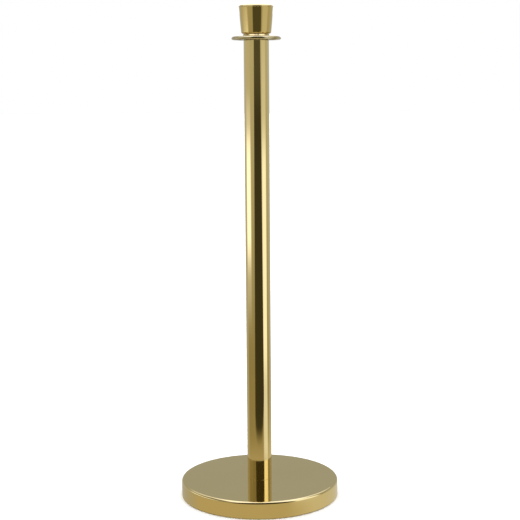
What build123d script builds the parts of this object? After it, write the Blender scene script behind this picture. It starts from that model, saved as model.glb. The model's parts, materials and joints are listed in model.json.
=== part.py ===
from build123d import *
from math import radians, sqrt, tan
import os

# Rope barrier stanchion: a weighted drum base, a plain tube post, a four-way hook ring
# and a flared crown.  Millimetres, +Z up, origin on the floor at the post's axis.

# Overall
POST_HEIGHT = 1000.0
BASE_RADIUS = 161.0
BASE_TOP = 35.0
TUBE_RADIUS = 25.0
TUBE_WALL = 1.2
SEAT_GAP = 0.03
SLIDING_GAP = 0.05

# Base: pressed cover, cement weight, closing pan, floor pad
COVER_SHEET = 1.0
COVER_BOTTOM = 1.0
COVER_LIP_RADIUS = 153.0
COVER_TOP_ROUNDING = 3.0
COVER_BOTTOM_ROUNDING = 1.4
PAN_SHEET = 1.2
PAN_LOW = COVER_BOTTOM + COVER_SHEET + SEAT_GAP
PAN_RADIUS = BASE_RADIUS - COVER_SHEET - 1.0
PAN_HOLE_RADIUS = 32.0
PAD_RADIUS = 151.5
PAD_TOP = PAN_LOW - SEAT_GAP
WEIGHT_LOW = PAN_LOW + PAN_SHEET + SEAT_GAP
WEIGHT_TOP = BASE_TOP - COVER_SHEET - 0.1
WEIGHT_RADIUS = BASE_RADIUS - COVER_SHEET - 0.4
POCKET_RADIUS = 33.0
POCKET_TOP = 26.0

# Thread sizes, as radii: M14 at the foot, M12 at the crown
M14_RADIUS = 6.95
M14_BORE = 7.0
M14_PITCH = 2.0
M14_THREAD_DEPTH = 1.1
M14_FLATS = 21.0
M14_CLEARANCE = 7.5
M12_RADIUS = 5.95
M12_BORE = 6.0
M12_PITCH = 1.75
M12_THREAD_DEPTH = 0.95
M12_FLATS = 18.0
M12_CLEARANCE = 6.3

# Base stud and what it clamps, from the floor up
BASE_STUD_LOW = 7.0
BOTTOM_NUT_LOW = 8.3
BOTTOM_NUT_HEIGHT = 10.5
SPRING_WASHER_LOW = BOTTOM_NUT_LOW + BOTTOM_NUT_HEIGHT + SEAT_GAP
SPRING_WASHER_RADIUS = 12.1
SPRING_WASHER_SLOT = 2.6
SPRING_WASHER_SLANT = 18
CLAMP_PLATE_LOW = 22.0
CLAMP_PLATE_RADIUS = 30.0
LOCATOR_LOW = BASE_TOP + SEAT_GAP
LOCATOR_TOP = 40.0
LOCATOR_RADIUS = 21.6
LOCATOR_NUT_HEIGHT = 11.0

# Foot of the post
FOOT_BUSH_LOW = BASE_TOP + SLIDING_GAP
FOOT_BUSH_INNER_RADIUS = LOCATOR_RADIUS + SLIDING_GAP
FOOT_BUSH_OUTER_RADIUS = TUBE_RADIUS - TUBE_WALL - SLIDING_GAP
TUBE_LOW = BASE_TOP + SLIDING_GAP
TUBE_EDGE = 0.25
FOOT_PLUG_LOW = 54.0
FOOT_PLUG_TOP = 60.0
FOOT_TURNS = 9
BASE_STUD_TOP = FOOT_PLUG_LOW + FOOT_TURNS * M14_PITCH

# Head of the post
TUBE_TOP = 927.3
PLUG_RADIUS = TUBE_RADIUS - TUBE_WALL - SEAT_GAP
HEAD_PLUG_LOW = 906.0
SPIGOT_RADIUS = 15.0
SPIGOT_TOP = 935.45
SLIP_WASHER_TOP = 928.1
SLIP_WASHER_INNER_RADIUS = 15.3
SLIP_WASHER_OUTER_RADIUS = 24.2

# Four-way hook ring
RING_LOW = 928.2
RING_TOP = 935.2
RING_RADIUS = 49.0
RING_BORE = 15.08
RIM_INNER_RADIUS = 40.0
HUB_RADIUS = 26.0
WEB_WIDTH = 10.0
RIM_ROUNDING = 3.2
OPENING_CORNER = 3.5
OPENING_EDGE_ROUNDING = 1.2

# Neck collar and crown
COLLAR_LOW = SPIGOT_TOP + SLIDING_GAP
COLLAR_TOP = 940.1
COLLAR_FOOT_RADIUS = 27.4
COLLAR_NECK_RADIUS = 25.6
COLLAR_ROUNDING = 0.8
CROWN_LOW = 940.3
CROWN_WEB = 5.0
CROWN_WALL = 2.0
CROWN_FOOT_RADIUS = 29.4
CROWN_FOOT_ROUNDING = 3.2
CROWN_RIM_RADIUS = 34.1
SHELL_TOP = 991.6
CAP_LOW = 992.0
CAP_RADIUS = 34.6
CAP_LIP = 993.7
CAP_LIP_ROUNDING = 0.75
CAP_SLANT = 52
CAP_SEAT_RADIUS = 31.3
CAP_SEAT_DEPTH = 8.6
CAP_SKIRT_WALL = 2.0
CAP_THICKNESS = 4.5
DOME_RADIUS = 134.0
DOME_SHOULDER = 5.0
JOINT_EDGE = 0.3
BOSS_HOLE_RADIUS = 8.0
BOSS_RADIUS = 13.0
BOSS_TOP = 962.0
CROWN_TURNS = 12
CROWN_STUD_LOW = SPIGOT_TOP - CROWN_TURNS * M12_PITCH
CROWN_STUD_TOP = 971.0
CROWN_NUT_HEIGHT = 6.0


def section(*corners):
    """Flat outline in X and Y.  Each corner is (radius, height[, rounding])."""
    points = [(corner[0], corner[1]) for corner in corners]
    roundings = [corner[2] if len(corner) == 3 else 0 for corner in corners]
    return make_face(FilletPolyline(*points, radius=roundings, close=True))


def turned(*corners):
    """Solid turned about Z from a section's corners."""
    return revolve(Plane.XZ * section(*corners), Axis.Z)


def threaded_rod(radius, low, top, pitch, depth):
    """Rod with a chamfered end each way and a V groove at every pitch."""
    corners = [(0, low), (radius - depth, low), (radius, low + depth)]
    grooves = int((top - low - 2 * depth) / pitch) - 1
    start = low + (top - low - grooves * pitch) / 2
    for turn in range(grooves):
        z = start + turn * pitch
        corners += [(radius, z), (radius - depth, z + pitch * 3 / 8), (radius, z + pitch * 3 / 4)]
    corners += [(radius, top - depth), (radius - depth, top), (0, top)]
    return turned(*corners)


def hex_nut(flats, low, height, bore):
    """Hexagon nut with the corners of both faces turned off."""
    corner = flats / sqrt(3)
    drop = (corner - flats / 2) * 0.6
    top = low + height
    blank = Pos(0, 0, low) * extrude(RegularPolygon(flats / 2, 6, major_radius=False), height)
    envelope = turned(
        (bore, low),
        (flats / 2 - 0.2, low),
        (corner + 0.1, low + drop),
        (corner + 0.1, top - drop),
        (flats / 2 - 0.2, top),
        (bore, top),
    )
    return blank & envelope


def flat_ring(inner, outer, low, top, rounding=0.3):
    """Washer, disc or tube with its outer edges eased."""
    return turned((inner, low), (outer, low, rounding), (outer, top, rounding), (inner, top))


def base_cover():
    """Pressed drum with a rolled-in lip and a centre hole for the stud."""
    inner = BASE_RADIUS - COVER_SHEET
    under = BASE_TOP - COVER_SHEET
    lip_top = COVER_BOTTOM + COVER_SHEET
    return turned(
        (M14_CLEARANCE, BASE_TOP),
        (BASE_RADIUS, BASE_TOP, COVER_TOP_ROUNDING),
        (BASE_RADIUS, COVER_BOTTOM, COVER_BOTTOM_ROUNDING),
        (COVER_LIP_RADIUS, COVER_BOTTOM),
        (COVER_LIP_RADIUS, lip_top),
        (inner, lip_top, COVER_BOTTOM_ROUNDING - COVER_SHEET),
        (inner, under, COVER_TOP_ROUNDING - COVER_SHEET),
        (M14_CLEARANCE, under),
    )


def base_weight():
    """Cement disc with a pocket underneath for the clamping hardware."""
    return turned(
        (M14_CLEARANCE, POCKET_TOP),
        (POCKET_RADIUS, POCKET_TOP),
        (POCKET_RADIUS, WEIGHT_LOW),
        (WEIGHT_RADIUS, WEIGHT_LOW, 2.0),
        (WEIGHT_RADIUS, WEIGHT_TOP, 3.0),
        (M14_CLEARANCE, WEIGHT_TOP),
    )


def spring_washer():
    """Split washer between the bottom nut and the clamp plate."""
    top = CLAMP_PLATE_LOW - SEAT_GAP
    middle = (SPRING_WASHER_LOW + top) / 2
    ring = flat_ring(M14_BORE + 0.2, SPRING_WASHER_RADIUS, SPRING_WASHER_LOW, top)
    cutter = Box(2 * SPRING_WASHER_RADIUS, SPRING_WASHER_SLOT, 2 * (top - SPRING_WASHER_LOW))
    return ring - Pos(SPRING_WASHER_RADIUS, 0, middle) * Rot(SPRING_WASHER_SLANT, 0, 0) * cutter


def head_plug():
    """Steel plug welded flush into the tube, with the spigot that the hook ring turns on."""
    return turned(
        (M12_BORE, HEAD_PLUG_LOW),
        (PLUG_RADIUS, HEAD_PLUG_LOW, 1.0),
        (PLUG_RADIUS, TUBE_TOP),
        (SPIGOT_RADIUS, TUBE_TOP),
        (SPIGOT_RADIUS, SPIGOT_TOP, 0.5),
        (M12_BORE, SPIGOT_TOP),
    )


def hook_ring():
    """Cast ring with four rounded openings between a hub and a round-edged rim."""
    disc = turned(
        (RING_BORE, RING_LOW),
        (RING_RADIUS, RING_LOW, RIM_ROUNDING),
        (RING_RADIUS, RING_TOP, RIM_ROUNDING),
        (RING_BORE, RING_TOP),
    )
    openings = Circle(RIM_INNER_RADIUS) - Circle(HUB_RADIUS)
    for angle in (45, 135):
        openings -= Rot(0, 0, angle) * Rectangle(2 * RING_RADIUS, WEB_WIDTH)
    openings = fillet(openings.vertices(), OPENING_CORNER)
    ring = disc - Pos(0, 0, RING_LOW) * extrude(openings, RING_TOP - RING_LOW)
    for height in (RING_LOW, RING_TOP):
        flat = ring.faces().filter_by_position(Axis.Z, height - 0.01, height + 0.01)[0]
        loops = [loop for loop in flat.inner_wires() if len(loop.edges()) > 2]
        ring = fillet([edge for loop in loops for edge in loop.edges()], OPENING_EDGE_ROUNDING)
    return ring


def crown_shell():
    """Flared cup with a web at the foot and a cylindrical seat for the cap."""
    web_top = CROWN_LOW + CROWN_WEB
    flare = (CROWN_RIM_RADIUS - CROWN_FOOT_RADIUS) / (SHELL_TOP - CROWN_LOW)
    return turned(
        (BOSS_HOLE_RADIUS, CROWN_LOW),
        (CROWN_FOOT_RADIUS, CROWN_LOW, CROWN_FOOT_ROUNDING),
        (CROWN_RIM_RADIUS, SHELL_TOP, JOINT_EDGE),
        (CAP_SEAT_RADIUS, SHELL_TOP),
        (CAP_SEAT_RADIUS, SHELL_TOP - CAP_SEAT_DEPTH),
        (CROWN_FOOT_RADIUS + flare * CROWN_WEB - CROWN_WALL, web_top, 2.0),
        (BOSS_HOLE_RADIUS, web_top),
    )


def crown_cap():
    """Shallow dome that slants down to a beaded lip, with a skirt that plugs into the shell."""
    skirt = CAP_SEAT_RADIUS - SEAT_GAP
    skirt_low = SHELL_TOP - CAP_SEAT_DEPTH + 1.0
    ceiling = POST_HEIGHT - CAP_THICKNESS
    above = POST_HEIGHT + 1
    slant_run = (above - CAP_LIP) / tan(radians(CAP_SLANT))
    blank = section(
        (0, above),
        (0, ceiling),
        (skirt - CAP_SKIRT_WALL, ceiling, 1.0),
        (skirt - CAP_SKIRT_WALL, skirt_low),
        (skirt, skirt_low, 0.5),
        (skirt, CAP_LOW),
        (CAP_RADIUS, CAP_LOW, CAP_LIP_ROUNDING),
        (CAP_RADIUS, CAP_LIP, CAP_LIP_ROUNDING),
        (CAP_RADIUS - slant_run, above),
    )
    domed = blank & (Pos(0, POST_HEIGHT - DOME_RADIUS) * Circle(DOME_RADIUS))
    shoulder = [v for v in domed.vertices() if v.X > skirt and v.Y > CAP_LIP + 1]
    return revolve(Plane.XZ * fillet(shoulder, DOME_SHOULDER), Axis.Z)


def crown_boss():
    """Steel boss welded through the shell's web to take the crown stud."""
    low = CROWN_LOW + 0.3
    shoulder = CROWN_LOW + CROWN_WEB + SEAT_GAP
    return turned(
        (M12_BORE, low),
        (BOSS_HOLE_RADIUS - SEAT_GAP, low),
        (BOSS_HOLE_RADIUS - SEAT_GAP, shoulder),
        (BOSS_RADIUS, shoulder),
        (BOSS_RADIUS, BOSS_TOP, 1.0),
        (M12_BORE, BOSS_TOP),
    )


nodes = {
    # base
    "floor_pad": flat_ring(0, PAD_RADIUS, 0, PAD_TOP, 0.6),
    "base_pan": flat_ring(PAN_HOLE_RADIUS, PAN_RADIUS, PAN_LOW, PAN_LOW + PAN_SHEET),
    "base_weight": base_weight(),
    "base_cover": base_cover(),
    "base_stud": threaded_rod(M14_RADIUS, BASE_STUD_LOW, BASE_STUD_TOP, M14_PITCH, M14_THREAD_DEPTH),
    "bottom_nut": hex_nut(M14_FLATS, BOTTOM_NUT_LOW, BOTTOM_NUT_HEIGHT, M14_BORE),
    "spring_washer": spring_washer(),
    "clamp_plate": flat_ring(M14_CLEARANCE, CLAMP_PLATE_RADIUS, CLAMP_PLATE_LOW, POCKET_TOP - SEAT_GAP),
    "tube_locator": flat_ring(M14_CLEARANCE, LOCATOR_RADIUS, LOCATOR_LOW, LOCATOR_TOP, 0.8),
    "locator_nut": hex_nut(M14_FLATS, LOCATOR_TOP + SEAT_GAP, LOCATOR_NUT_HEIGHT, M14_BORE),
    # post
    "foot_bush": flat_ring(
        FOOT_BUSH_INNER_RADIUS, FOOT_BUSH_OUTER_RADIUS, FOOT_BUSH_LOW, LOCATOR_TOP, 0.4
    ),
    "post_tube": flat_ring(TUBE_RADIUS - TUBE_WALL, TUBE_RADIUS, TUBE_LOW, TUBE_TOP, TUBE_EDGE),
    "foot_plug": flat_ring(M14_BORE, PLUG_RADIUS, FOOT_PLUG_LOW, FOOT_PLUG_TOP),
    "foot_nut": hex_nut(M14_FLATS, FOOT_PLUG_TOP + SEAT_GAP, BASE_STUD_TOP - FOOT_PLUG_TOP, M14_BORE),
    "head_plug": head_plug(),
    "slip_washer": flat_ring(
        SLIP_WASHER_INNER_RADIUS, SLIP_WASHER_OUTER_RADIUS, TUBE_TOP + SEAT_GAP, SLIP_WASHER_TOP, 0.2
    ),
    # ring and crown
    "hook_ring": hook_ring(),
    "neck_collar": turned(
        (M12_CLEARANCE, COLLAR_LOW),
        (COLLAR_FOOT_RADIUS, COLLAR_LOW, COLLAR_ROUNDING),
        (COLLAR_NECK_RADIUS, COLLAR_TOP, COLLAR_ROUNDING),
        (M12_CLEARANCE, COLLAR_TOP),
    ),
    "crown_shell": crown_shell(),
    "crown_boss": crown_boss(),
    "crown_stud": threaded_rod(M12_RADIUS, CROWN_STUD_LOW, CROWN_STUD_TOP, M12_PITCH, M12_THREAD_DEPTH),
    "crown_nut": hex_nut(M12_FLATS, BOSS_TOP + SEAT_GAP, CROWN_NUT_HEIGHT, M12_BORE),
    "crown_cap": crown_cap(),
}

os.makedirs("parts", exist_ok=True)
for name, shape in nodes.items():
    export_step(shape, f"parts/{name}.step")
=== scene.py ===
"""Rope barrier stanchion: polished gold drum base, tube post, four-way hook ring and flared crown."""

import math

import bpy
from mathutils import Matrix, Vector
from mathutils.geometry import delaunay_2d_cdt
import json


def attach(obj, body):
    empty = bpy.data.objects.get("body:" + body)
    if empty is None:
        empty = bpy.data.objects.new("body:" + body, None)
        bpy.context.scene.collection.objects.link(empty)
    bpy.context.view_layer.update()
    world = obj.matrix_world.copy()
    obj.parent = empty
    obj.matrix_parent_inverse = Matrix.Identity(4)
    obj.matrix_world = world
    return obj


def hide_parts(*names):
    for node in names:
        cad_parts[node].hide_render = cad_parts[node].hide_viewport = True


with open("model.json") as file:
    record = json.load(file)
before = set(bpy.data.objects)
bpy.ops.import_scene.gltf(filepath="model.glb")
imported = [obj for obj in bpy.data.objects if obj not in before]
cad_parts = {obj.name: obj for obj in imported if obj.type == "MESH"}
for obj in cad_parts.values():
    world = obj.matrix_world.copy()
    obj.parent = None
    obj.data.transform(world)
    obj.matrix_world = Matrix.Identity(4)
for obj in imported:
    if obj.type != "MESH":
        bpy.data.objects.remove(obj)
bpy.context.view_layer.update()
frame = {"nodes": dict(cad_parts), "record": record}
BODY_OF = {
    node: body for body, members in frame["record"]["behaviour"]["bodies"].items() for node in members
}
MM = 0.001
ON_AXIS = 1e-7
AROUND, AROUND_DRUM = 192, 288


# ---------------------------------------------------------------- meshes

def build_mesh(name, points, faces, normals, node, material, slot):
    """A piece that stands for one CAD node.

    Faces index points, and normals has one entry per face corner.  Without normals the piece is flat shaded.
    """
    mesh = bpy.data.meshes.new(name)
    mesh.from_pydata(points, [], faces)
    if normals is None:
        mesh.shade_flat()
    else:
        mesh.shade_smooth()
        mesh.normals_split_custom_set(normals)
    mesh.materials.append(material)
    piece = bpy.data.objects.new(name, mesh)
    bpy.context.scene.collection.objects.link(piece)
    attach(piece, BODY_OF[node])
    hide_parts(node)


def outline(corners, arc_steps, longest=60 * MM):
    """Closed section, counter-clockwise.  Corners are (radius, height[, rounding]), in metres.

    Returns edges (r0, z0, n0, r1, z1, n1): two ends with the outward normal at each.
    """
    count = len(corners)
    area = sum(
        corners[i][0] * corners[(i + 1) % count][1] - corners[(i + 1) % count][0] * corners[i][1]
        for i in range(count)
    )
    if area < 0:
        corners = corners[::-1]
    runs = []
    for i in range(count):
        before, here, after = corners[i - 1], corners[i], corners[(i + 1) % count]
        rounding = here[2] if len(here) > 2 else 0.0
        ux, uz = here[0] - before[0], here[1] - before[1]
        vx, vz = after[0] - here[0], after[1] - here[1]
        ul, vl = math.hypot(ux, uz), math.hypot(vx, vz)
        ux, uz, vx, vz = ux / ul, uz / ul, vx / vl, vz / vl
        turn = math.atan2(ux * vz - uz * vx, ux * vx + uz * vz)
        if rounding == 0:
            runs.append([(here[0], here[1], (uz, -ux), (vz, -vx))])
            continue
        cut = rounding * math.tan(abs(turn) / 2)
        side = 1 if turn > 0 else -1
        cx = here[0] - ux * cut - uz * rounding * side
        cz = here[1] - uz * cut + ux * rounding * side
        start = math.atan2(-ux * side, uz * side)
        arc = []
        for k in range(arc_steps + 1):
            angle = start + turn * k / arc_steps
            nx, nz = math.cos(angle), math.sin(angle)
            normal = (nx * side, nz * side)
            arc.append((cx + rounding * nx, cz + rounding * nz, normal, normal))
        runs.append(arc)
    ring = [p for run in runs for p in run]
    edges = []
    for i, (r0, z0, _, n0) in enumerate(ring):
        r1, z1, n1, _ = ring[(i + 1) % len(ring)]
        if r0 < ON_AXIS and r1 < ON_AXIS:
            continue
        pieces = max(1, math.ceil(math.hypot(r1 - r0, z1 - z0) / longest))
        for k in range(pieces):
            a, b = k / pieces, (k + 1) / pieces
            edges.append((
                r0 + (r1 - r0) * a, z0 + (z1 - z0) * a, n0,
                r0 + (r1 - r0) * b, z0 + (z1 - z0) * b, n1,
            ))
    return edges


def turned(edges, segments):
    """Points, faces and corner normals of a section turned about Z."""
    points, faces, normals, index = [], [], [], {}

    def ring_of(r, z):
        key = (round(r, 8), round(z, 8))
        if key not in index:
            index[key] = len(points)
            if r < ON_AXIS:
                points.append((0.0, 0.0, z))
            else:
                for j in range(segments):
                    a = 2 * math.pi * j / segments
                    points.append((r * math.cos(a), r * math.sin(a), z))
        return index[key], r < ON_AXIS

    def facing(n, j):
        a = 2 * math.pi * j / segments
        return n[0] * math.cos(a), n[0] * math.sin(a), n[1]

    for r0, z0, n0, r1, z1, n1 in edges:
        low, low_pole = ring_of(r0, z0)
        high, high_pole = ring_of(r1, z1)
        for j in range(segments):
            k = (j + 1) % segments
            corners = [(low if low_pole else low + j, n0, j), (low if low_pole else low + k, n0, j + 1),
                       (high if high_pole else high + k, n1, j + 1), (high if high_pole else high + j, n1, j)]
            if low_pole:
                corners.pop(0)
            if high_pole:
                corners.pop()
            faces.append([c[0] for c in corners])
            normals += [facing(c[1], c[2]) for c in corners]
    return points, faces, normals


def turned_piece(name, node, corners, segments, material, slot, arc_steps):
    """A piece that stands for one CAD node, turned from a section in millimetres."""
    scaled = [tuple(value * MM for value in corner) for corner in corners]
    build_mesh(name, *turned(outline(scaled, arc_steps), segments), node, material, slot)


# ---------------------------------------------------------------- node helpers

def add(tree, kind, settings=None, inputs=None):
    """A node with its settings and inputs; an input is a value or another node's output."""
    node = tree.nodes.new(kind)
    for key, value in (settings or {}).items():
        setattr(node, key, value)
    for key, value in (inputs or {}).items():
        socket = node.inputs[key]
        if isinstance(value, bpy.types.NodeSocket):
            tree.links.new(value, socket)
        else:
            socket.default_value = value
    return node


def maths(tree, operation, *values):
    return add(tree, "ShaderNodeMath", {"operation": operation}, dict(enumerate(values))).outputs[0]


def ease(tree, value, low, high, at_low=0.0, at_high=1.0):
    """Smooth step from at_low to at_high as value goes from low to high."""
    node = add(tree, "ShaderNodeMapRange", {"interpolation_type": "SMOOTHSTEP"}, {
        "Value": value, "From Min": low, "From Max": high, "To Min": at_low, "To Max": at_high})
    return node.outputs["Result"]


def window(tree, value, low, high, soft):
    """1 between low and high, falling to 0 over soft at each side."""
    rise = ease(tree, value, low - soft / 2, low + soft / 2)
    fall = ease(tree, value, high - soft / 2, high + soft / 2, 1.0, 0.0)
    return maths(tree, "MULTIPLY", rise, fall)


def ramp(tree, value, stops, interpolation="EASE"):
    """Colour ramp; stops are (position, (r, g, b)) or (position, grey)."""
    node = add(tree, "ShaderNodeValToRGB", None, {"Fac": value})
    elements = node.color_ramp.elements
    node.color_ramp.interpolation = interpolation
    while len(elements) < len(stops):
        elements.new(0.5)
    for element, (position, colour) in zip(elements, stops):
        element.position = position
        rgb = colour if isinstance(colour, tuple) else (colour, colour, colour)
        element.color = (*rgb, 1)
    return node.outputs["Color"]


def mix(tree, factor, a, b, blend="MIX"):
    node = add(tree, "ShaderNodeMix", {"data_type": "RGBA", "blend_type": blend})
    for socket, value in ((node.inputs[0], factor), (node.inputs[6], a), (node.inputs[7], b)):
        if isinstance(value, bpy.types.NodeSocket):
            tree.links.new(value, socket)
        else:
            socket.default_value = (*value, 1) if isinstance(value, tuple) else value
    return node.outputs[2]


def noise(tree, vector, scale, detail=2.0, roughness=0.5):
    return add(tree, "ShaderNodeTexNoise", None, {
        "Vector": vector, "Scale": scale, "Detail": detail, "Roughness": roughness}).outputs["Fac"]


# ---------------------------------------------------------------- materials

def new_material(name):
    material = bpy.data.materials.new(name)
    material.use_nodes = True
    return material, material.node_tree, material.node_tree.nodes["Principled BSDF"]


def gold_material(name, marks_along, marks_scale, dark, light, rough):
    """Polished brass plate: faint polishing marks, wiped smudges and a very slight waviness.

    The marks are circles on flat faces ("circles") or rings round upright ones ("height").
    """
    material, tree, shader = new_material(name)
    place = add(tree, "ShaderNodeTexCoord").outputs["Object"]
    axes = add(tree, "ShaderNodeSeparateXYZ", None, {"Vector": place}).outputs
    radius = maths(tree, "SQRT", maths(
        tree, "ADD", maths(tree, "POWER", axes["X"], 2.0), maths(tree, "POWER", axes["Y"], 2.0)))
    across = radius if marks_along == "circles" else axes["Z"]
    # Marks run round the axis, so they change fast across it and slowly round it
    flow = add(tree, "ShaderNodeCombineXYZ", None, {
        "X": maths(tree, "MULTIPLY", axes["X"], 6.0),
        "Y": maths(tree, "MULTIPLY", axes["Y"], 6.0),
        "Z": maths(tree, "MULTIPLY", across, marks_scale)}).outputs["Vector"]
    marks = noise(tree, flow, scale=1.0, detail=3.0, roughness=0.6)
    smudge = ease(tree, noise(tree, place, scale=14.0, detail=4.0, roughness=0.55), 0.5, 0.75)
    wave = noise(tree, place, scale=7.0, detail=1.0, roughness=0.4)
    tint = mix(tree, noise(tree, place, scale=5.0), dark, light)
    tint = mix(tree, maths(tree, "MULTIPLY", smudge, 0.12), tint, (0.80, 0.66, 0.38))
    tree.links.new(tint, shader.inputs["Base Color"])
    shader.inputs["Metallic"].default_value = 1.0
    spread = maths(tree, "ADD", maths(tree, "MULTIPLY", marks, 0.05), maths(tree, "MULTIPLY", smudge, 0.07))
    tree.links.new(maths(tree, "ADD", spread, rough), shader.inputs["Roughness"])
    fine = add(tree, "ShaderNodeBump", None, {"Strength": 1.0, "Distance": 0.0000022, "Height": marks})
    broad = add(tree, "ShaderNodeBump", None, {
        "Strength": 1.0, "Distance": 0.00005, "Height": wave, "Normal": fine.outputs["Normal"]})
    tree.links.new(broad.outputs["Normal"], shader.inputs["Normal"])
    return material


def steel_material(name):
    """Zinc-plated steel with a faint chromate tint and turning marks."""
    material, tree, shader = new_material(name)
    place = add(tree, "ShaderNodeTexCoord").outputs["Object"]
    patch = noise(tree, place, scale=90.0, detail=3.0)
    grain = noise(tree, place, scale=2200.0)
    tree.links.new(mix(tree, patch, (0.50, 0.53, 0.56), (0.66, 0.65, 0.60)), shader.inputs["Base Color"])
    shader.inputs["Metallic"].default_value = 1.0
    tree.links.new(ease(tree, patch, 0.3, 0.7, 0.26, 0.42), shader.inputs["Roughness"])
    bump = add(tree, "ShaderNodeBump", None, {"Strength": 0.4, "Distance": 0.00004, "Height": grain})
    tree.links.new(bump.outputs["Normal"], shader.inputs["Normal"])
    return material


def speckled_material(name, dark, light, scale, roughness, bump_depth):
    """Cement, paint, rubber or nylon: a mottled colour over a grain."""
    material, tree, shader = new_material(name)
    place = add(tree, "ShaderNodeTexCoord").outputs["Object"]
    mottle = noise(tree, place, scale / 6, detail=4.0, roughness=0.65)
    grain = noise(tree, place, scale, detail=3.0, roughness=0.6)
    tree.links.new(mix(tree, mottle, dark, light), shader.inputs["Base Color"])
    tree.links.new(ease(tree, grain, 0.3, 0.7, *roughness), shader.inputs["Roughness"])
    bump = add(tree, "ShaderNodeBump", None, {"Strength": 0.7, "Distance": bump_depth, "Height": grain})
    tree.links.new(bump.outputs["Normal"], shader.inputs["Normal"])
    return material


BRASS_DARK, BRASS_LIGHT = (0.83, 0.66, 0.28), (0.88, 0.72, 0.34)
gold_round = gold_material("gold_polished_round", "height", 900.0, BRASS_DARK, BRASS_LIGHT, 0.035)
gold_plate = gold_material("gold_polished_plate", "circles", 900.0, BRASS_DARK, BRASS_LIGHT, 0.035)
# The crown is the same polished gold, with its colour darkened and made more orange as painted shade
crown_gold_painted_shade = gold_material("gold_polished_crown_painted_shade", "height", 900.0,
                           (0.74, 0.56, 0.19), (0.82, 0.63, 0.24), 0.06)
# The hook ring is the same polished gold, with its colour darkened further as painted shade
ring_gold_painted_shade = gold_material("gold_polished_ring_painted_shade", "height", 500.0,
                          (0.59, 0.51, 0.27), (0.68, 0.59, 0.32), 0.12)
zinc = steel_material("zinc_plated_steel")
FINISHES = {
    "polished_gold": gold_round,
    "zinc_steel": zinc,
    "black_steel": speckled_material("black_coated_steel", (0.012, 0.012, 0.013), (0.03, 0.03, 0.032),
                                     1500.0, (0.38, 0.55), 0.00006),
    "cement": speckled_material("grey_cement", (0.20, 0.19, 0.18), (0.42, 0.41, 0.38),
                                700.0, (0.8, 0.95), 0.0004),
    "black_rubber": speckled_material("black_rubber", (0.011, 0.011, 0.011), (0.035, 0.034, 0.033),
                                      1800.0, (0.6, 0.85), 0.00008),
    "black_nylon": speckled_material("black_nylon", (0.014, 0.014, 0.015), (0.024, 0.024, 0.026),
                                     2500.0, (0.4, 0.55), 0.00004),
}
# Every CAD node gets its slot's finish; the pieces below then stand for eight of the nodes
for row in frame["record"]["subparts"]:
    node = frame["nodes"][row["node"]]
    node.data.materials.clear()
    node.data.materials.append(FINISHES[row["material_slot"]])


# ---------------------------------------------------------------- turned pieces, in millimetres

def base_drum():
    """Pressed drum, open below, with a rounded rim and a rolled-in lip."""
    radius, sheet, bottom, top = 161.0, 1.0, 1.0, 35.0
    hole, lip, rim_rounding, foot_rounding = 7.5, 153.0, 3.2, 0.4
    turned_piece("base_drum", "base_cover", [
        (hole, top), (radius, top, rim_rounding + sheet), (radius, bottom, foot_rounding + sheet),
        (lip, bottom), (lip, bottom + sheet), (radius - sheet, bottom + sheet, foot_rounding),
        (radius - sheet, top - sheet, rim_rounding), (hole, top - sheet),
    ], AROUND_DRUM, gold_plate, "polished_gold", arc_steps=12)


def post_tube():
    """Plain tube with its cut ends broken outside."""
    radius, wall, foot, top, broken_edge = 25.0, 1.2, 35.05, 927.3, 0.25
    turned_piece("tube", "post_tube", [
        (radius - wall, foot), (radius, foot, broken_edge), (radius, top, broken_edge),
        (radius - wall, top),
    ], AROUND, gold_round, "polished_gold", arc_steps=6)


def neck_ring():
    """Collar that narrows upwards, between the hook ring and the crown."""
    bore, foot_radius, top_radius = 6.3, 27.4, 25.6
    foot, top, rounding = 935.5, 940.1, 0.8
    turned_piece("neck_ring", "neck_collar", [
        (bore, foot), (foot_radius, foot, rounding), (top_radius, top, rounding), (bore, top),
    ], AROUND, gold_round, "polished_gold", arc_steps=10)


def crown_cup():
    """Flared cup with a thick floor and an upright seat for the cap's skirt."""
    hole, foot_radius, lip_radius = 8.0, 29.4, 34.1
    floor_radius, seat_radius = 27.86, 31.3
    foot, floor, seat, lip = 940.3, 945.3, 983.0, 991.6
    turned_piece("crown_cup", "crown_shell", [
        (hole, foot), (foot_radius, foot, 3.2), (lip_radius, lip, 0.3), (seat_radius, lip),
        (seat_radius, seat), (floor_radius, floor, 2.0), (hole, floor),
    ], AROUND, crown_gold_painted_shade, "polished_gold", arc_steps=12)


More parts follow.
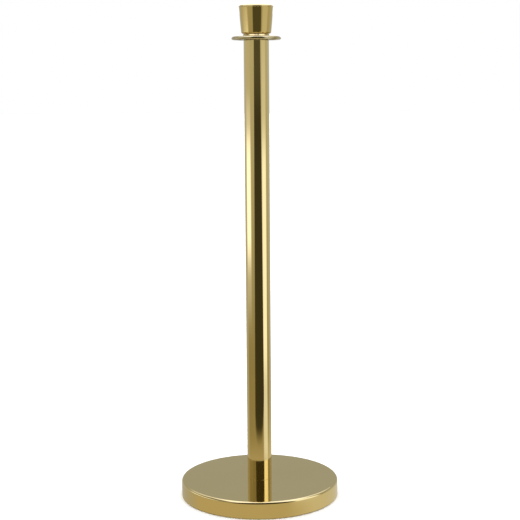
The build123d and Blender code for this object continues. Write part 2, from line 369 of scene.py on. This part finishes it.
def cap_section():
    """A large sphere's dome, a rounded shoulder, a slant, a beaded lip, and a skirt that plugs into the cup.

    Its sizes are in millimetres, and it returns edges in metres, as outline does.
    """
    height, sphere, shoulder, slant = 1000.0, 134.0, 5.0, math.radians(52.0)
    lip_radius, lip_top, lip_foot, lip_rounding = 34.6, 993.7, 992.0, 0.75
    skirt_radius, skirt_inside, skirt_foot, underside = 31.27, 29.27, 984.0, 995.5
    dome_steps, shoulder_steps = 24, 12
    centre = height - sphere
    # The shoulder's arc touches the sphere from inside and the slant's line
    nr, nz = math.sin(slant), math.cos(slant)
    reach = lip_radius * nr + lip_top * nz - shoulder
    gap = reach - centre * nz
    along = math.sqrt((sphere - shoulder) ** 2 - gap ** 2)
    cr, cz = gap * nr - along * nz, centre + gap * nz + along * nr
    start, end = math.atan2(cz - centre, cr), math.atan2(nz, nr)
    dome = []
    for k in range(dome_steps + 1):
        angle = math.pi / 2 + (start - math.pi / 2) * k / dome_steps
        n = (math.cos(angle), math.sin(angle))
        dome.append((sphere * n[0], centre + sphere * n[1], n, n))
    for k in range(1, shoulder_steps + 1):
        angle = start + (end - start) * k / shoulder_steps
        n = (math.cos(angle), math.sin(angle))
        dome.append((cr + shoulder * n[0], cz + shoulder * n[1], n, n))
    # The rest is outlined with the slant drawn on up to a lid above the dome, which is then cut off
    lid, run = height + 1.0, 12.0
    corners = [
        (0, underside), (0, lid), (lip_radius - run * nz, lip_top + run * nr),
        (lip_radius, lip_top, lip_rounding), (lip_radius, lip_foot, lip_rounding), (skirt_radius, lip_foot),
        (skirt_radius, skirt_foot, 0.5), (skirt_inside, skirt_foot), (skirt_inside, underside, 1.0),
    ]
    shoulder_r, shoulder_z, shoulder_n, _ = dome[-1]
    kept = []
    for edge in outline([tuple(value * MM for value in corner) for corner in corners], arc_steps=8):
        r0, z0, n0, r1, z1, n1 = edge
        if max(z0, z1) < (height + lid) / 2 * MM:
            kept.append(edge)
        elif min(z0, z1) < underside * MM:
            slant_foot = (r0, z0, n0) if z0 < z1 else (r1, z1, n1)
            kept.append((*slant_foot, shoulder_r * MM, shoulder_z * MM, shoulder_n))
    for (r1, z1, n1, _), (r0, z0, n0, _) in zip(dome, dome[1:]):
        kept.append((r0 * MM, z0 * MM, n0, r1 * MM, z1 * MM, n1))
    return kept


# ---------------------------------------------------------------- hook ring, in metres

RING_LOW, RING_HIGH = 928.2 * MM, 935.2 * MM
RING_BORE, RING_RADIUS, RIM_ROUNDING = 15.08 * MM, 49.0 * MM, 3.2 * MM
OPENING_ROUNDING, OPENING_STEPS = 1.2 * MM, 6


def long_arc(reach, start, end, side):
    """Points between two fillets, on an arc about the ring's axis.

    They are (point, direction out of the opening), and side is -1 where out is towards the axis.
    """
    steps = 3 * OPENING_STEPS
    arc = []
    for k in range(1, steps):
        a = start + (end - start) * k / steps
        arc.append(((reach * math.cos(a), reach * math.sin(a)), (side * math.cos(a), side * math.sin(a))))
    return arc


def opening_outline(growth):
    """One opening's outline, counter-clockwise, grown all round: (point, direction out of the opening)."""
    outer, inner, fillet, half_web = 40.0 * MM, 26.0 * MM, 3.5 * MM, 5.0 * MM
    beside = half_web + fillet
    far, near = outer - fillet, inner + fillet
    far_angle, near_angle = math.asin(beside / far), math.asin(beside / near)
    diagonal = math.pi / 4
    # Distance and bearing of each fillet's centre, with the start and end of its arc
    fillets = [
        (far, -diagonal + far_angle, -diagonal - math.pi / 2, -diagonal + far_angle),
        (far, diagonal - far_angle, diagonal - far_angle, diagonal + math.pi / 2),
        (near, diagonal - near_angle, diagonal + math.pi / 2, math.pi + diagonal - near_angle),
        (near, -diagonal + near_angle, math.pi - diagonal + near_angle, 1.5 * math.pi - diagonal),
    ]
    loop = []
    for index, (distance, angle, start, end) in enumerate(fillets):
        cx, cy = distance * math.cos(angle), distance * math.sin(angle)
        for k in range(OPENING_STEPS + 1):
            a = start + (end - start) * k / OPENING_STEPS
            loop.append(((cx + (fillet + growth) * math.cos(a), cy + (fillet + growth) * math.sin(a)),
                         (math.cos(a), math.sin(a))))
        if index == 0:
            loop += long_arc(outer + growth, end, -end, 1)
        elif index == 2:
            loop += long_arc(inner - growth, diagonal - near_angle, near_angle - diagonal, -1)
    return loop


def opening_levels():
    """An opening's wall from below to above: (growth, height, normal's height, normal's share across)."""
    levels = []
    for k in range(OPENING_STEPS + 1):
        a = math.pi / 2 * k / OPENING_STEPS
        levels.append((OPENING_ROUNDING * (1 - math.sin(a)), RING_LOW + OPENING_ROUNDING * (1 - math.cos(a)),
                       -math.cos(a), math.sin(a)))
    mirrored = [(growth, RING_LOW + RING_HIGH - z, -nz, across) for growth, z, nz, across in levels[::-1]]
    return levels + mirrored


def cut_opening(points, faces, normals, turn):
    """Adds the wall of one opening; returns the point numbers of its lowest and its highest loop."""
    levels = opening_levels()
    loops = [opening_outline(growth) for growth, _, _, _ in levels]
    cos, sin = math.cos(turn), math.sin(turn)
    base, count = len(points), len(loops[0])
    for (_, z, _, _), loop in zip(levels, loops):
        points += [(x * cos - y * sin, x * sin + y * cos, z) for (x, y), _ in loop]
    for i in range(len(levels) - 1):
        for j in range(count):
            k = (j + 1) % count
            faces.append([base + i * count + k, base + i * count + j,
                          base + (i + 1) * count + j, base + (i + 1) * count + k])
            for level, at in ((i, k), (i, j), (i + 1, j), (i + 1, k)):
                nx, ny = loops[level][at][1]
                _, _, nz, across = levels[level]
                normals.append((-(nx * cos - ny * sin) * across, -(nx * sin + ny * cos) * across, nz))
    top = base + (len(levels) - 1) * count
    return list(range(base, base + count)), list(range(top, top + count))


def in_opening(point):
    """Inside one of the ring's openings, with their edge roundings counted as opening."""
    angle = math.atan2(point.y, point.x)
    angle -= math.pi / 2 * round(angle / (math.pi / 2))
    x, y = point.length * math.cos(angle), point.length * math.sin(angle)
    loop = [p for p, _ in opening_outline(OPENING_ROUNDING)]
    inside = False
    for (x0, y0), (x1, y1) in zip(loop, loop[1:] + loop[:1]):
        if (y0 > y) != (y1 > y) and x < x0 + (x1 - x0) * (y - y0) / (y1 - y0):
            inside = not inside
    return inside


def fill_flat(points, faces, normals, z, holes):
    """Adds the ring's flat side at height z, between the bore, the rim's rounding and the openings."""
    flat_edge = RING_RADIUS - RIM_ROUNDING
    rims = []
    for radius in (flat_edge, RING_BORE):
        rim = [i for i, p in enumerate(points)
               if abs(p[2] - z) < 1e-7 and abs(math.hypot(p[0], p[1]) - radius) < 1e-6]
        rims.append(sorted(rim, key=lambda i: math.atan2(points[i][1], points[i][0])))
    order = rims[0] + rims[1] + [i for hole in holes for i in hole]
    place = {index: k for k, index in enumerate(order)}
    edges = []
    for loop in rims + holes:
        edges += [(place[loop[k - 1]], place[loop[k]]) for k in range(len(loop))]
    flat = [Vector(points[i][:2]) for i in order]
    spots, _, triangles, sources, _, _ = delaunay_2d_cdt(flat, edges, [], 0, 1e-9)
    facing = 1.0 if z == RING_HIGH else -1.0
    for triangle in triangles:
        middle = sum((spots[i] for i in triangle), Vector((0.0, 0.0))) / len(triangle)
        if middle.length > flat_edge or middle.length < RING_BORE or in_opening(middle):
            continue
        corners = [order[sources[i][0]] for i in triangle]
        faces.append(corners if facing > 0 else corners[::-1])
        normals += [(0.0, 0.0, facing)] * len(corners)


def hook_ring():
    """Round-edged ring with four round-edged openings between the rim and the hub."""
    section = outline([(RING_BORE, RING_LOW), (RING_RADIUS, RING_LOW, RIM_ROUNDING),
                       (RING_RADIUS, RING_HIGH, RIM_ROUNDING), (RING_BORE, RING_HIGH)], arc_steps=10)
    # The two flats are left out here, and filled in round the openings afterwards
    flat_width = RING_RADIUS - RIM_ROUNDING - RING_BORE
    section = [edge for edge in section if abs(edge[3] - edge[0]) < flat_width / 2]
    points, faces, normals = turned(section, AROUND)
    loops = [cut_opening(points, faces, normals, math.pi / 2 * quarter) for quarter in range(4)]
    fill_flat(points, faces, normals, RING_LOW, [low for low, _ in loops])
    fill_flat(points, faces, normals, RING_HIGH, [high for _, high in loops])
    return points, faces, normals


# ---------------------------------------------------------------- threaded studs

def stud_points(radius, low, top, pitch, depth):
    """Rod with a helical V thread that fades out at both chamfered ends."""
    around, per_pitch, half_groove = 36, 8, 0.42
    rows = int(round((top - low) / pitch * per_pitch))
    points = []
    for i in range(rows + 1):
        z = low + (top - low) * i / rows
        chamfer = min(depth, max(0.0, depth - min(z - low, top - z)))
        for j in range(around):
            turn = (z / pitch - j / around) % 1.0
            groove = depth * min(1.0, max(0.0, 1.0 - abs(turn - 0.5) / half_groove))
            fade = min(1.0, min(z - low, top - z) / pitch)
            r = radius - max(groove * fade, chamfer)
            angle = 2 * math.pi * j / around
            points.append((r * math.cos(angle), r * math.sin(angle), z))
    faces = [(i * around + j, i * around + (j + 1) % around, (i + 1) * around + (j + 1) % around,
              (i + 1) * around + j) for i in range(rows) for j in range(around)]
    faces += [tuple(range(around))[::-1], tuple(rows * around + j for j in range(around))]
    return points, faces


def stud_piece(name, node, radius, low, top, pitch, depth):
    """A zinc-plated threaded stud, with its sizes in millimetres."""
    points, faces = stud_points(*(value * MM for value in (radius, low, top, pitch, depth)))
    build_mesh(name, points, faces, None, node, zinc, "zinc_steel")


base_drum()
post_tube()
neck_ring()
crown_cup()
build_mesh("crown_dome", *turned(cap_section(), AROUND), "crown_cap", gold_plate, "polished_gold")
build_mesh("rope_ring", *hook_ring(), "hook_ring", ring_gold_painted_shade, "polished_gold")
stud_piece("foot_thread", "base_stud", radius=6.95, low=7.0, top=72.0, pitch=2.0, depth=1.1)
stud_piece("head_thread", "crown_stud", radius=5.95, low=914.45, top=971.0, pitch=1.75, depth=0.95)


# ---------------------------------------------------------------- studio

def bearing(tree, axes):
    """Degrees round the post from the front, growing towards +X."""
    return maths(tree, "DEGREES", maths(tree, "ARCTAN2", axes["X"], maths(tree, "MULTIPLY", axes["Y"], -1.0)))


# The room as the metal sees it, as (degrees above the horizon, colour)
FLOOR_DOWN, FLOOR_NEAR = (0.62, 0.58, 0.50), (0.50, 0.46, 0.37)
ROOM_FRONT = [
    (-90, FLOOR_DOWN), (-60, FLOOR_NEAR), (-42, (0.16, 0.13, 0.08)), (-32, (0.11, 0.085, 0.05)),
    (-24, (0.50, 0.42, 0.26)), (-17.3, (0.53, 0.46, 0.32)), (-16.6, (0.32, 0.27, 0.15)),
    (-13, (0.30, 0.26, 0.15)), (-9, (0.40, 0.37, 0.28)), (-4, (0.48, 0.46, 0.39)), (2, (0.52, 0.50, 0.43)),
    (9, (0.27, 0.25, 0.20)), (26, (0.25, 0.235, 0.19)), (62, (0.16, 0.15, 0.12)), (72, (0.7, 0.7, 0.68)),
    (90, (0.8, 0.8, 0.8)),
]
ROOM_BACK = [
    (-90, FLOOR_DOWN), (-60, FLOOR_NEAR), (-42, (0.38, 0.34, 0.25)), (-34, (0.14, 0.11, 0.07)),
    (-26, (0.48, 0.43, 0.32)), (-12, (0.46, 0.46, 0.46)), (2, (0.52, 0.54, 0.58)), (12, (0.395, 0.405, 0.40)),
    (26, (0.395, 0.405, 0.40)), (40, (0.7, 0.7, 0.72)), (90, (0.8, 0.8, 0.8)),
]


def room_colour(tree, height, stops):
    """A linear ramp from straight down to straight up, by degrees above the horizon."""
    level = maths(tree, "DIVIDE", maths(tree, "ADD", height, 90.0), 180.0)
    return ramp(tree, level, [((degrees + 90.0) / 180.0, colour) for degrees, colour in stops], "LINEAR")


def stage_world():
    """The room, which only reflections and soft light see; the camera sees white."""
    world = bpy.data.worlds.new("studio")
    bpy.context.scene.world = world
    world.use_nodes = True
    tree = world.node_tree
    tree.nodes.clear()
    direction = add(tree, "ShaderNodeTexCoord").outputs["Generated"]
    axes = add(tree, "ShaderNodeSeparateXYZ", None, {"Vector": direction}).outputs
    azimuth = bearing(tree, axes)
    height = maths(tree, "DEGREES", maths(tree, "ARCSINE", axes["Z"]))
    front = room_colour(tree, height, ROOM_FRONT)
    back = room_colour(tree, height, ROOM_BACK)
    behind = ease(tree, maths(tree, "ABSOLUTE", azimuth), 95.0, 125.0)
    colour = mix(tree, behind, front, back)
    # The floor is lighter on the right, under the right-hand box
    on_right = ease(tree, azimuth, 30.0, 95.0)
    below_step = ease(tree, height, -18.5, -14.0, at_low=0.6, at_high=0.0)
    beyond_foot = ease(tree, height, -32.0, -24.0)
    lit_floor = maths(tree, "MULTIPLY", below_step, maths(tree, "MULTIPLY", on_right, beyond_foot))
    colour = mix(tree, lit_floor, colour, (0.74, 0.72, 0.66))
    unseen = add(tree, "ShaderNodeBackground", None, {"Color": colour, "Strength": 1.0})
    seen = add(tree, "ShaderNodeBackground", None, {"Color": (1, 1, 1, 1), "Strength": 1.0})
    path = add(tree, "ShaderNodeLightPath")
    blend = add(tree, "ShaderNodeMixShader", None, {
        0: path.outputs["Is Camera Ray"], 1: unseen.outputs[0], 2: seen.outputs[0]})
    out = add(tree, "ShaderNodeOutputWorld")
    tree.links.new(blend.outputs[0], out.inputs["Surface"])


def stage_sheet(name, rows, material):
    """A smooth sheet through rows of points, not part of the object."""
    columns = len(rows[0])
    points = [p for row in rows for p in row]
    faces = [(i * columns + j, i * columns + j + 1, (i + 1) * columns + j + 1, (i + 1) * columns + j)
             for i in range(len(rows) - 1) for j in range(columns - 1)]
    mesh = bpy.data.meshes.new(name)
    mesh.from_pydata(points, [], faces)
    mesh.shade_smooth()
    mesh.materials.append(material)
    sheet = bpy.data.objects.new(name, mesh)
    bpy.context.scene.collection.objects.link(sheet)
    return sheet


def soft_box(name, rows, shape, colour):
    """A glowing sheet that only reflections see; shape(tree, axes) gives its brightness over the sheet."""
    material = bpy.data.materials.new(name)
    material.use_nodes = True
    tree = material.node_tree
    tree.nodes.clear()
    place = add(tree, "ShaderNodeTexCoord").outputs["Object"]
    axes = add(tree, "ShaderNodeSeparateXYZ", None, {"Vector": place}).outputs
    shade = colour(tree, axes) if callable(colour) else (*colour, 1)
    glow = add(tree, "ShaderNodeEmission", None, {"Color": shade, "Strength": 1.0})
    clear = add(tree, "ShaderNodeBsdfTransparent")
    blend = add(tree, "ShaderNodeMixShader", None, {
        0: shape(tree, axes), 1: clear.outputs[0], 2: glow.outputs[0]})
    out = add(tree, "ShaderNodeOutputMaterial")
    tree.links.new(blend.outputs[0], out.inputs["Surface"])
    sheet = stage_sheet(name, rows, material)
    sheet.visible_camera = False
    sheet.visible_diffuse = False
    sheet.visible_shadow = False
    sheet.visible_transmission = False
    sheet.visible_volume_scatter = False


def side_wall(radius, start, end, low, high):
    """Rows of a part of an upright cylinder about the post, between two bearings and two heights."""
    steps = 24
    bearings = [math.radians(start + (end - start) * k / steps) for k in range(steps + 1)]
    return [[(radius * math.sin(a), -radius * math.cos(a), z) for a in bearings] for z in (low, high)]


def upright(levels, start, end, soft):
    """Brightness of a side wall: a ramp of (height in metres, value) inside a soft-edged span of bearings."""
    low, high = levels[0][0], levels[-1][0]

    def shape(tree, axes):
        share = maths(tree, "DIVIDE", maths(tree, "SUBTRACT", axes["Z"], low), high - low)
        rise = ramp(tree, share, [((z - low) / (high - low), value) for z, value in levels])
        return maths(tree, "MULTIPLY", rise, window(tree, bearing(tree, axes), start, end, soft))
    return shape


def overhead(tree, axes):
    """A canopy that is wide in front of the post and narrows behind it."""
    half = ease(tree, axes["Y"], 0.3, 1.1, at_low=1.6, at_high=0.72)
    return window(tree, maths(tree, "DIVIDE", axes["X"], half), -0.9, 1.1, soft=0.36)


def dark_gap(tree, axes):
    """Where the boxes leave a gap for the camera: wider at its foot, which is square to the floor."""
    middle, half_at_floor, half_change = 6.0, 42.0, -14.0
    corner_middle, corner_rise = 0.12, 0.065
    half = maths(tree, "ADD", half_at_floor, maths(tree, "MULTIPLY", axes["Z"], half_change))
    across = maths(tree, "DIVIDE", maths(tree, "SUBTRACT", bearing(tree, axes), middle), half)
    from_middle = maths(tree, "ADD", across, corner_middle)
    corner = maths(tree, "MULTIPLY", maths(tree, "POWER", from_middle, 4.0), corner_rise)
    foot = ease(tree, maths(tree, "SUBTRACT", axes["Z"], corner), -0.07, -0.012)
    return maths(tree, "MULTIPLY", foot, window(tree, across, -1.0, 1.0, soft=0.14))


def gap_colour(tree, axes):
    """Nearly black, and lighter above the head of the post."""
    return ramp(tree, axes["Z"], [(0.0, (0.050, 0.044, 0.022)), (0.74, (0.050, 0.044, 0.026)),
                                  (0.88, (0.088, 0.082, 0.052)), (1.0, (0.088, 0.082, 0.052))])


def stage_box(name, radius, start, end, levels, colour, glow):
    """A side wall as high as its levels, glowing inside a span of bearings."""
    wall = side_wall(radius, start, end, levels[0][0], levels[-1][0])
    soft_box(name, wall, upright(levels, *glow), colour)


def stage_tent():
    """A canopy over the post, bowed down at its sides and lower at its front and back."""
    profile = [(-1.45, 1.75), (-1.0, 2.05), (-0.5, 2.25), (0.0, 2.32), (0.5, 2.25), (1.0, 2.02), (1.35, 1.7),
               (1.55, 1.35), (1.62, 1.04)]
    half, steps, bow = 2.5, 20, 0.06
    across = [-half + 2 * half * k / steps for k in range(steps + 1)]
    soft_box("tent", [[(x, y, z - bow * x * x) for x in across] for y, z in profile],
             overhead, (1.4, 1.45, 1.9))


def stage_lights():
    """Two tall side boxes, the canopy, the dark gap in front, and a very soft sun."""
    stage_box("left_box", 3.0, -140, -50, [
        (-0.8, 0.0), (-0.3, 0.0), (-0.05, 0.16), (0.2, 0.95), (0.45, 0.95), (0.54, 0.8), (0.68, 0.25),
        (0.84, 0.04), (1.3, 0.0)], (1.6, 1.65, 2.05), glow=(-113.0, -64.0, 18.0))
    stage_box("right_box", 0.8, 28, 100, [
        (-0.5, 0.0), (-0.22, 0.0), (-0.12, 0.55), (0.02, 0.6), (0.15, 0.95), (0.6, 0.95), (0.78, 0.3),
        (1.15, 0.0)], (1.25, 1.3, 1.5), glow=(44.0, 86.0, 14.0))
    stage_tent()
    soft_box("gap", side_wall(0.6, -50, 62, -0.1, 1.5), dark_gap, gap_colour)
    sun = bpy.data.lights.new("sky_soft", "SUN")
    sun.angle = math.radians(120.0)
    sun.energy = 3.9
    lamp = bpy.data.objects.new("sky_soft", sun)
    bpy.context.scene.collection.objects.link(lamp)
    lamp.visible_glossy = False


def stage_floor():
    """Pale floor, kept out of the reflections so that the studio shows in the metal."""
    material, tree, shader = new_material("pale_floor")
    place = add(tree, "ShaderNodeTexCoord").outputs["Object"]
    tree.links.new(mix(tree, noise(tree, place, 3.0, 3.0), (0.86, 0.86, 0.86), (0.88, 0.88, 0.88)),
                   shader.inputs["Base Color"])
    shader.inputs["Roughness"].default_value = 0.9
    shader.inputs["Specular IOR Level"].default_value = 0.0
    reach = 30.0
    floor = stage_sheet("floor", [[(-reach, -reach, 0), (reach, -reach, 0)],
                                  [(-reach, reach, 0), (reach, reach, 0)]], material)
    floor.visible_glossy = False


stage_world()
stage_lights()
stage_floor()

# ---------------------------------------------------------------- camera

CAMERA_PLACE = (0.00409, -2.50404, 0.84883)
CAMERA_DROP = 8.172
CAMERA_ROLL = -0.438
CAMERA_LENS, CAMERA_SENSOR = 86.551, 36.0
camera_data = bpy.data.cameras.new("camera")
camera_data.sensor_width = CAMERA_SENSOR
camera_data.lens = CAMERA_LENS
camera = bpy.data.objects.new("camera", camera_data)
bpy.context.scene.collection.objects.link(camera)
camera.matrix_world = (
    Matrix.Translation(CAMERA_PLACE)
    @ Matrix.Rotation(math.radians(90.0 - CAMERA_DROP), 4, "X")
    @ Matrix.Rotation(math.radians(CAMERA_ROLL), 4, "Z")
)
bpy.context.scene.camera = camera
bpy.context.scene.view_settings.view_transform = "Standard"
